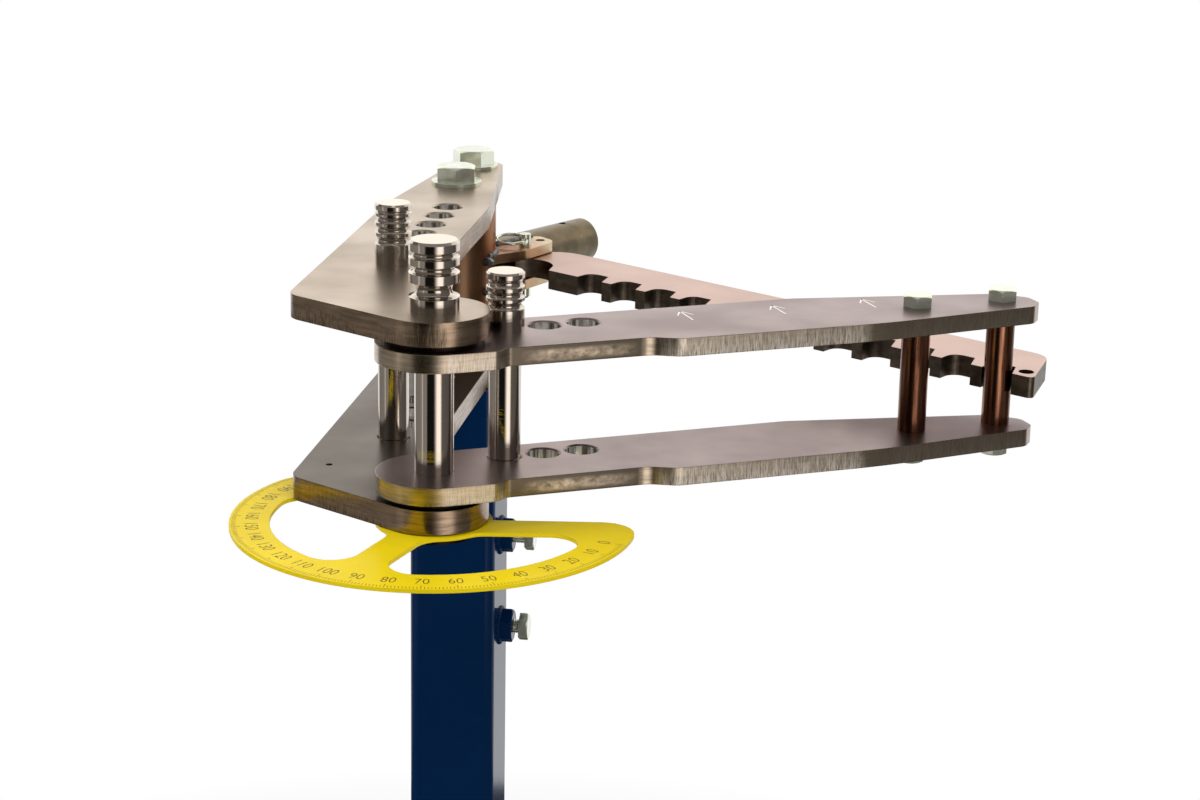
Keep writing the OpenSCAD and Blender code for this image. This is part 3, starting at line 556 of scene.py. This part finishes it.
class BENDER_OT_finishes(bpy.types.Operator):
    """Gives every CAD node its finish"""
    bl_idname = "bender.finishes"
    bl_label = "Finish the bender's pieces"

    def execute(self, context):
        look = context.scene.bender_finish
        # Painted light and shade: each plate mirrors another part of the room and lies in its own shade, so its own
        # grey darkens its colours to the tone that the eye sees; the lower frame plate's low grey is painted shade
        # under the upper plate
        for node, grey, edge_of in (
                ("upper_frame_plate", 0.74, frame_edge), ("lower_frame_plate", 0.2, frame_edge),
                ("mounting_post", 0.6, frame_edge), ("upper_arm_plate", 0.72, arm_edge),
                ("lower_arm_plate", 0.72, arm_edge)):
            face, shade = (look.arm_face, look.arm_shade) if edge_of is arm_edge else (
                look.frame_face, look.frame_shade)
            coat_node(node, cut_plate(
                "ground_steel_" + node, node, toned(face, grey), toned(shade, grey), look, edge_of))
        coat_slot("bar_steel", scaled_bar("scaled_plate_bar", look.bar_face, look.bar_edge))
        coat_slot("turned_steel", turned_steel("turned_steel_pins", look.pin_metal))
        coat_slot("zinc", zinc_plate("zinc_fasteners", look.zinc))
        coat_slot("tinted_steel", heat_tinted("heat_tinted_hub", look.tint_base, look))
        straw = heat_tinted("heat_tinted_clevis", look.clevis_face, look)
        coat_node("upper_clevis_plate", straw)
        coat_node("lower_clevis_plate", straw)
        coat_slot("socket_steel", drawn_tube(
            "plated_socket_tube", toned(look.socket_metal, 0.45), toned(look.socket_metal, 0.66), 0.2, 0.3,
            (30, 30, 30)))
        coat_slot("copper_steel", drawn_tube(
            "scaled_spacer_tube", look.copper_dark, look.copper_light, 0.16, 0.3, (5, 5, 70)))
        coat_slot("black_oxide", blackened("black_oxide_rings", look.oxide))
        coat_slot("navy_paint", painted("navy_powder_coat", look.navy, 0.16, 1.4, 0.12))
        coat_slot("yellow_paint", painted("yellow_dial_paint", look.yellow, 0.26, 1.0, 0.05))
        return {"FINISHED"}


# New pieces
def make_piece(name, verts, faces, body, material, smooth=True):
    """A mesh piece from arrays, riding on a body, with its finish in its one material slot."""
    mesh = bpy.data.meshes.new(name)
    mesh.from_pydata(verts.tolist(), [], faces.tolist())
    mesh.shade_smooth() if smooth else mesh.shade_flat()
    mesh.materials.append(material)
    piece = bpy.data.objects.new(name, mesh)
    bpy.context.scene.collection.objects.link(piece)
    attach(piece, body)
    return piece


def grid_faces(rows, columns, wrap):
    """Quads of a rows by columns grid of points, its columns closed on themselves if wrap is true."""
    row, column = np.meshgrid(np.arange(rows - 1), np.arange(columns if wrap else columns - 1), indexing="ij")
    after = (column + 1) % columns
    quads = [row * columns + column, row * columns + after, (row + 1) * columns + after, (row + 1) * columns + column]
    return np.stack(quads, axis=-1).reshape(-1, 4)


def bead_surface(path, radius, ripple, sides=14):
    """A weld bead along a path: a round tube whose radius is r (0.86 + 0.14 |sin(pi s / ripple)|) at the
    distance s, drawn in to nothing by a quarter circle over one radius at each end."""
    step = np.linalg.norm(np.diff(path, axis=0), axis=1)
    along = np.concatenate([[0.0], np.cumsum(step)])
    count = max(int(along[-1] / ripple * 6), 12)
    s = np.linspace(0.0, along[-1], count)
    centre = np.stack([np.interp(s, along, path[:, i]) for i in range(3)], axis=1)
    tangent = np.gradient(centre, axis=0)
    tangent /= np.linalg.norm(tangent, axis=1, keepdims=True)
    helper = np.where(np.abs(tangent[:, 2:]) > 0.9, [[1.0, 0.0, 0.0]], [[0.0, 0.0, 1.0]])
    side = np.cross(tangent, helper)
    side /= np.linalg.norm(side, axis=1, keepdims=True)
    up = np.cross(side, tangent)
    to_end = np.clip(np.minimum(s, along[-1] - s) / radius, 0.0, 1.0)
    swell = radius * (0.86 + 0.14 * np.abs(np.sin(np.pi * s / ripple))) * np.sqrt(1 - (1 - to_end) ** 2)
    angle = np.linspace(0.0, 2 * np.pi, sides, endpoint=False)
    ring = side[:, None] * np.cos(angle)[None, :, None] + up[:, None] * np.sin(angle)[None, :, None]
    points = centre[:, None] + ring * swell[:, None, None]
    return points.reshape(-1, 3), grid_faces(count, sides, True)


def path_points(x, y, z):
    """Points from their coordinates, where a single number serves all of them."""
    return np.column_stack(np.broadcast_arrays(x, y, z))


def lever_point(along, across, height):
    """Points given along the socket, to its left, and above its axis, in the model's frame."""
    left = np.array([-SOCKET_DIR[1], SOCKET_DIR[0], 0.0])
    return LEVER + path_points(along, across, height) @ np.array([SOCKET_DIR, left, [0.0, 0.0, 1.0]])


def joined(surfaces):
    """Several surfaces' points and faces as one."""
    verts, faces, start = [], [], 0
    for points, quads in surfaces:
        verts.append(points)
        faces.append(quads + start)
        start += len(points)
    return np.concatenate(verts), np.concatenate(faces)


def lever_beads(bead, ripple):
    """Beads where the socket and the two clevis plates meet the barrel, and along the plates on the socket."""
    turn = np.linspace(*np.radians(SOCKET_WELD), 90)
    across, height = -SOCKET_R * np.cos(turn), SOCKET_R * np.sin(turn)
    surfaces = [bead_surface(lever_point(np.sqrt(BARREL_R ** 2 - across ** 2), across, height), bead, ripple)]
    arc = np.linspace(*np.radians(PLATE_ARC), 40)
    end = radians(PLATE_END)
    run = np.linspace(BARREL_R + bead, BARREL_R + PLATE_WELD, 40)
    for node, face in (("upper_clevis_plate", 1), ("lower_clevis_plate", 0)):
        level = node_box(node)[face][2] - LEVER[2]
        other = node_box(node)[1 - face][2] - LEVER[2]
        rise = np.linspace(other, level, 24)
        seat = -sqrt(max(SOCKET_R ** 2 - level ** 2, 0.0))
        surfaces += [
            bead_surface(lever_point(BARREL_R * np.cos(arc), BARREL_R * np.sin(arc), level), bead * 0.8, ripple),
            bead_surface(lever_point(BARREL_R * np.cos(end), BARREL_R * np.sin(end), rise), bead * 1.9, ripple * 1.6),
            bead_surface(lever_point(run, seat, level), bead * 0.75, ripple)]
    return surfaces


def pedestal_beads(bead, ripple):
    """Fillets round the column's foot, down each gusset and round the welded nuts."""
    low, high = node_box("pedestal_column")
    half = (high[0] - low[0]) / 2
    floor = node_box("foot_plate")[1][2]
    tip = node_box("gussets")[1]
    surfaces = []
    corners = np.array([[1, 1], [-1, 1], [-1, -1], [1, -1], [1, 1]]) * half
    share = np.linspace(0.06, 0.94, 40)
    for a, b in zip(corners[:-1], corners[1:]):
        side = path_points(a[0] * (1 - share) + b[0] * share, a[1] * (1 - share) + b[1] * share, floor)
        surfaces.append(bead_surface(side, bead, ripple))
    out = np.linspace(half + bead, tip[0] - bead, 40)
    rise = np.linspace(floor + bead, tip[2] - bead, 40)
    for turn in np.arange(4) * np.pi / 2:
        spin = np.array([[np.cos(turn), np.sin(turn), 0], [-np.sin(turn), np.cos(turn), 0], [0, 0, 1]])
        for side in (-GUSSET_HALF, GUSSET_HALF):
            for path in (path_points(out, side, floor), path_points(half, side, rise)):
                surfaces.append(bead_surface(path @ spin, bead * 0.8, ripple))
    nuts_low, nuts_high = node_box("clamp_nuts")
    radius = (nuts_high[1] - nuts_low[1]) / 2
    angle = np.linspace(0.0, 2 * np.pi, 60)
    for level in (nuts_low[2] + radius * HEX_CORNER, nuts_high[2] - radius * HEX_CORNER):
        ring = path_points(half, radius * 1.1 * np.cos(angle), level + radius * 1.1 * np.sin(angle))
        surfaces.append(bead_surface(ring, bead * 0.7, ripple))
    return surfaces


class BENDER_OT_welds(bpy.types.Operator):
    """Lays the weld beads of the lever and the pedestal"""
    bl_idname = "bender.welds"
    bl_label = "Lay the weld beads"

    def execute(self, context):
        weld = context.scene.bender_weld
        look = context.scene.bender_finish
        verts, faces = joined(lever_beads(weld.bead_radius, weld.ripple_pitch))
        make_piece("lever_weld_beads", verts, faces, "lever", weld_metal(
            "lever_weld_metal", look.bead))
        verts, faces = joined(pedestal_beads(weld.bead_radius, weld.ripple_pitch))
        make_piece("pedestal_weld_beads", verts, faces, "pedestal",
                   bpy.data.materials["navy_powder_coat"])
        return {"FINISHED"}


def printed_digits(text, height):
    """Flat outline of a number as points and triangles, centred on the origin, in metres."""
    curve = bpy.data.curves.new("digit_outline", "FONT")
    curve.body = text
    curve.size = height * TYPE_SIZE
    curve.align_x, curve.align_y = "CENTER", "CENTER"
    curve.resolution_u = 3
    curve.offset = -height * TYPE_THINNED
    writer = bpy.data.objects.new("digit_outline", curve)
    mesh = bpy.data.meshes.new_from_object(writer)
    mesh.calc_loop_triangles()
    verts = np.empty(len(mesh.vertices) * 3)
    mesh.vertices.foreach_get("co", verts)
    faces = np.empty(len(mesh.loop_triangles) * 3, dtype=np.int32)
    mesh.loop_triangles.foreach_get("vertices", faces)
    bpy.data.objects.remove(writer)
    bpy.data.curves.remove(curve)
    bpy.data.meshes.remove(mesh)
    return verts.reshape(-1, 3), faces.reshape(-1, 3)


class BENDER_OT_dial_print(bpy.types.Operator):
    """Prints the degree numbers and ticks on the ring"""
    bl_idname = "bender.dial_print"
    bl_label = "Print the degree ring"

    def execute(self, context):
        dial = context.scene.bender_dial
        ink = printed_ink("dial_ink", context.scene.bender_finish.ink)
        level = RING_TOP + INK_LIFT
        rim = (node_box("degree_ring")[1][0] - node_box("degree_ring")[0][0]) / 2
        surfaces = []
        for degree in range(0, dial.last_degree + 1, 10):
            verts, faces = printed_digits(str(degree), dial.number_height)
            angle = dial.zero_angle - radians(degree)
            outward = np.array([np.cos(angle), np.sin(angle)])
            right = np.array([-outward[1], outward[0]])
            flat = (PIVOT[:2] + outward * dial.number_radius + np.outer(verts[:, 0] * dial.number_width, right)
                    - np.outer(verts[:, 1], outward))
            surfaces.append((np.column_stack([flat, np.full(len(flat), level)]), faces))
        verts, faces = joined(surfaces)
        make_piece("dial_numbers", verts, faces, "dial", ink, smooth=False)
        degrees = np.arange(0, dial.last_degree + 1)
        length = np.where(degrees % 10 == 0, dial.tick_long, dial.tick_short)
        angle = dial.zero_angle - np.radians(degrees)
        outward = np.stack([np.cos(angle), np.sin(angle)], axis=1)
        across = np.stack([-np.sin(angle), np.cos(angle)], axis=1) * TICK_HALF
        outer, inner = outward * (rim - TICK_INSET), outward * (rim - TICK_INSET - length[:, None])
        corners = np.stack([inner - across, inner + across, outer + across, outer - across], axis=1) + PIVOT[:2]
        flat = corners.reshape(-1, 2)
        verts = np.column_stack([flat, np.full(len(flat), level)])
        faces = np.arange(len(flat)).reshape(-1, 4)[:, ::-1]
        make_piece("dial_ticks", verts, faces, "dial", ink, smooth=False)
        return {"FINISHED"}


def arrow_outline(length, width):
    """Three flat strips for an arrow that points along +Y from the origin: a shaft and two barbs swept back."""
    aside, back = ARROW_BARB[0] * length, ARROW_BARB[1] * length
    strips = [((0, 0), (0, length)), ((0, length), (-aside, back)), ((0, length), (aside, back))]
    corners = []
    for start, end in np.array(strips, dtype=float):
        along = (end - start) / np.linalg.norm(end - start)
        across = np.array([along[1], -along[0]]) * width / 2
        corners.append([start - along * width / 2 + across, end + along * width / 2 + across,
                        end + along * width / 2 - across, start - along * width / 2 - across])
    return np.array(corners).reshape(-1, 2), np.arange(12).reshape(-1, 4)


class BENDER_OT_arrows(bpy.types.Operator):
    """Engraves the three turning arrows on the upper arm plate"""
    bl_idname = "bender.arrows"
    bl_label = "Engrave the arm's arrows"

    def execute(self, context):
        dial = context.scene.bender_dial
        along = ARM_DIR[:2]
        aside = np.array([-along[1], along[0]])
        level = node_box("upper_arm_plate")[1][2] + ENGRAVED_LIFT
        verts, faces = arrow_outline(dial.arrow_length, dial.arrow_width)
        surfaces = []
        for place, offset in ARROW_PLACES:
            foot = PIVOT[:2] + along * place * MM + aside * offset * MM
            turned = foot + np.outer(verts[:, 0], along) + np.outer(verts[:, 1], aside)
            surfaces.append((np.column_stack([turned, np.full(len(turned), level)]), faces[:, ::-1]))
        verts, faces = joined(surfaces)
        make_piece("arm_arrows", verts, faces, "arm", engraved(
            "engraved_steel", context.scene.bender_finish.mark), smooth=False)
        return {"FINISHED"}


def thread_surface(start, axis, radius, depth, length, pitch):
    """A screw thread: radius + depth |2 frac(z / pitch - angle / 2 pi) - 1| round the axis, for z along it."""
    sides = 32
    count = int(length / pitch * 8)
    along, angle = np.meshgrid(
        np.linspace(0, length, count), np.linspace(0, 2 * np.pi, sides, endpoint=False), indexing="ij")
    wave = np.abs(2 * np.mod(along / pitch - angle / (2 * np.pi), 1.0) - 1)
    reach = radius + depth * wave
    side = np.cross(axis, [0.0, 0.0, 1.0] if abs(axis[2]) < 0.9 else [1.0, 0.0, 0.0])
    side = side / np.linalg.norm(side)
    up = np.cross(axis, side)
    points = start + along[..., None] * axis + reach[..., None] * (
        np.cos(angle)[..., None] * side + np.sin(angle)[..., None] * up)
    return points.reshape(-1, 3), grid_faces(count, sides, True)


class BENDER_OT_threads(bpy.types.Operator):
    """Cuts the threads that show between the clamp nuts and the bolt heads"""
    bl_idname = "bender.threads"
    bl_label = "Cut the clamp bolts' threads"

    def execute(self, context):
        weld = context.scene.bender_weld
        nuts = node_box("clamp_nuts")
        zinc = bpy.data.materials["zinc_fasteners"]
        for node, body in (("upper_clamp_bolt", "upper_clamp"), ("lower_clamp_bolt", "lower_clamp")):
            low, high = node_box(node)
            middle = (low + high) / 2
            start = np.array([nuts[1][0] - NUT_OVERLAP, middle[1], middle[2]])
            length = high[0] - BOLT_HEAD - start[0]
            verts, faces = thread_surface(
                start, np.array([1.0, 0.0, 0.0]), THREAD_ROOT, THREAD_DEPTH, length, weld.thread_pitch)
            make_piece(node + "_thread", verts, faces, body, zinc)
        return {"FINISHED"}


# Studio
def lamp(name, place, aim, size, power):
    """A soft rectangular lamp that faces its aim. The metal mirrors the panels and the backdrop, not the lamps."""
    data = bpy.data.lights.new(name, "AREA")
    data.shape = "RECTANGLE"
    data.size, data.size_y = size
    data.energy = power
    light = bpy.data.objects.new(name, data)
    light.location = place
    light.visible_glossy = False
    away = np.array(aim) - np.array(place)
    flat = sqrt(away[0] ** 2 + away[1] ** 2)
    light.rotation_euler = (radians(90) + atan2(away[2], flat), 0.0, atan2(away[1], away[0]) - radians(90))
    bpy.context.scene.collection.objects.link(light)


def studio_floor(size, colour):
    """A pale floor that keeps the shadow near the foot and turns to plain white further off."""
    material, tree = blank_material("studio_floor_paint")
    place = add(tree, "TexCoord").outputs["Object"]
    distance = add(tree, "VectorMath", place, operation="LENGTH").outputs["Value"]
    far = add(tree, "MapRange", distance, *FLOOR_FADE)
    seen = add(tree, "LightPath")
    shows = add(tree, "Math", seen.outputs["Is Camera Ray"], seen.outputs["Is Glossy Ray"], operation="MAXIMUM")
    matt = add(tree, "BsdfDiffuse", colour)
    white = add(tree, "Emission", (1, 1, 1), 1.0)
    add(tree, "OutputMaterial", add(tree, "MixShader", product(tree, shows, far), matt, white))
    half = size / 2
    mesh = bpy.data.meshes.new("studio_floor")
    mesh.from_pydata([(-half, -half, 0), (half, -half, 0), (half, half, 0), (-half, half, 0)], [], [(0, 1, 2, 3)])
    mesh.materials.append(material)
    floor = bpy.data.objects.new("studio_floor", mesh)
    bpy.context.scene.collection.objects.link(floor)


def glow_sheet(name, verts, faces, tone):
    """A glowing studio sheet, no lamp, that only reflections see: a painted reflection whose brightness at each point
    is given.
    """
    material, tree = blank_material(name + "_cloth")
    shade = add(tree, "Attribute", attribute_name="panel_tone").outputs["Fac"]
    add(tree, "OutputMaterial", add(tree, "Emission", linear("#FFF7EE"), shade))
    mesh = bpy.data.meshes.new(name)
    mesh.from_pydata(verts.reshape(-1, 3).tolist(), [], faces.tolist())
    mesh.attributes.new("panel_tone", "FLOAT", "POINT").data.foreach_set("value", tone.reshape(-1))
    mesh.materials.append(material)
    sheet = bpy.data.objects.new(name, mesh)
    sheet.visible_camera = sheet.visible_diffuse = sheet.visible_shadow = sheet.visible_transmission = False
    bpy.context.scene.collection.objects.link(sheet)


def wall_sheet(name, directions, heights, tone):
    """A piece of the wall round the bender, over some directions, in degrees, and heights."""
    angle, height = np.meshgrid(np.radians(directions), heights, indexing="ij")
    around = np.stack([np.cos(angle), np.sin(angle)], axis=-1)
    verts = np.concatenate([PIVOT[:2] + WALL_RADIUS * around, height[..., None]], axis=-1)
    glow_sheet(name, verts, grid_faces(len(directions), len(heights), False), tone)


def ring_sheet(name, level, tone, face_down):
    """A flat ring at that height round the bender, out to the wall."""
    angle, radius = np.meshgrid(np.radians(np.linspace(0, 360, 73)), [RING_HOLE, WALL_RADIUS], indexing="ij")
    verts = np.stack([PIVOT[0] + radius * np.cos(angle), PIVOT[1] + radius * np.sin(angle),
                      np.full(angle.shape, level)], axis=-1)
    faces = grid_faces(*angle.shape, False)
    glow_sheet(name, verts, faces[:, ::-1] if face_down else faces, np.full(angle.shape, tone))


def reflector_wall():
    """Painted reflections: grey, black and white glowing panels round the bender, open behind it, that only
    reflections see:
    a cylinder whose brightness follows the direction through WALL_STOPS and fades to an even grey with height, with a
    shade over the white backdrop, a dark sheet on the floor and a dim ceiling, all glowing sheets of the same kind."""
    stops, lift = np.array(WALL_STOPS), np.array(WALL_LIFT)
    directions = np.linspace(stops[0, 0], stops[-1, 0], 497)
    bright = np.interp(directions, stops[:, 0], stops[:, 1])
    wall_sheet("studio_panels", directions, WALL_HEIGHTS, np.outer(bright, 1 - lift) + WALL_GREY * lift)
    directions = np.linspace(*SHADE_SPAN, 60)
    wall_sheet("studio_back_shade", directions, SHADE_HEIGHTS, np.tile(SHADE_TONES, (len(directions), 1)))
    ring_sheet("studio_floor_cloth", *FLOOR_DARK_REFLECTION, False)
    ring_sheet("studio_ceiling", *CEILING, True)


class BENDER_OT_stage(bpy.types.Operator):
    """Sets the floor, the soft lamps, the white backdrop and the camera"""
    bl_idname = "bender.stage"
    bl_label = "Set the studio"

    def execute(self, context):
        studio = context.scene.bender_studio
        scene = context.scene
        studio_floor(studio.floor_size, studio.floor_colour)
        reflector_wall()
        aim = PIVOT
        lamp("key_softbox", (1.5, -1.9, 3.1), aim, (1.6, 1.2), 34)
        lamp("left_softbox", (-2.6, -0.8, 2.4), aim, (1.2, 1.8), 26)
        lamp("top_softbox", (-0.2, -0.2, 3.6), aim, (1.8, 1.8), 24)
        world = bpy.data.worlds.new("studio_world")
        scene.world = world
        world.use_nodes = True
        tree = world.node_tree
        tree.nodes.clear()
        seen = add(tree, "LightPath")
        shows = seen.outputs["Is Camera Ray"]
        for ray in ("Is Glossy Ray", "Is Transmission Ray"):
            shows = add(tree, "Math", shows, seen.outputs[ray], operation="MAXIMUM")
        strength = add(tree, "MapRange", shows, 0.0, 1.0, WORLD_LIGHT, 1.0)
        add(tree, "OutputWorld", add(tree, "Background", (1, 1, 1), strength))
        data = bpy.data.cameras.new("studio_camera")
        data.lens = studio.lens
        data.sensor_width = 36.0
        camera = bpy.data.objects.new("studio_camera", data)
        camera.location = studio.camera_place
        camera.rotation_euler = studio.camera_turn
        scene.collection.objects.link(camera)
        scene.camera = camera
        scene.view_settings.view_transform = "Standard"
        return {"FINISHED"}


class BENDER_PT_panel(bpy.types.Panel):
    """The bender's operators in the sidebar"""
    bl_idname = "BENDER_PT_panel"
    bl_label = "Tube bender"
    bl_space_type = "VIEW_3D"
    bl_region_type = "UI"
    bl_category = "Bender"

    def draw(self, context):
        for operator in OPERATORS:
            self.layout.operator(operator.bl_idname)


OPERATORS = (BENDER_OT_stage, BENDER_OT_finishes, BENDER_OT_welds, BENDER_OT_threads, BENDER_OT_dial_print,
             BENDER_OT_arrows)
GROUPS = {
    "bender_finish": BenderFinishSettings, "bender_dial": BenderDialSettings,
    "bender_weld": BenderWeldSettings, "bender_studio": BenderStudioSettings,
}


def register():
    for group in GROUPS.values():
        bpy.utils.register_class(group)
    for operator in OPERATORS:
        bpy.utils.register_class(operator)
    bpy.utils.register_class(BENDER_PT_panel)
    for name, group in GROUPS.items():
        setattr(bpy.types.Scene, name, PointerProperty(type=group))


def unregister():
    for name in GROUPS:
        delattr(bpy.types.Scene, name)
    bpy.utils.unregister_class(BENDER_PT_panel)
    for kind in (*reversed(OPERATORS), *reversed(list(GROUPS.values()))):
        bpy.utils.unregister_class(kind)


def main():
    register()
    for operator in OPERATORS:
        group, action = operator.bl_idname.split(".")
        getattr(getattr(bpy.ops, group), action)()


if __name__ == "__main__":
    main()
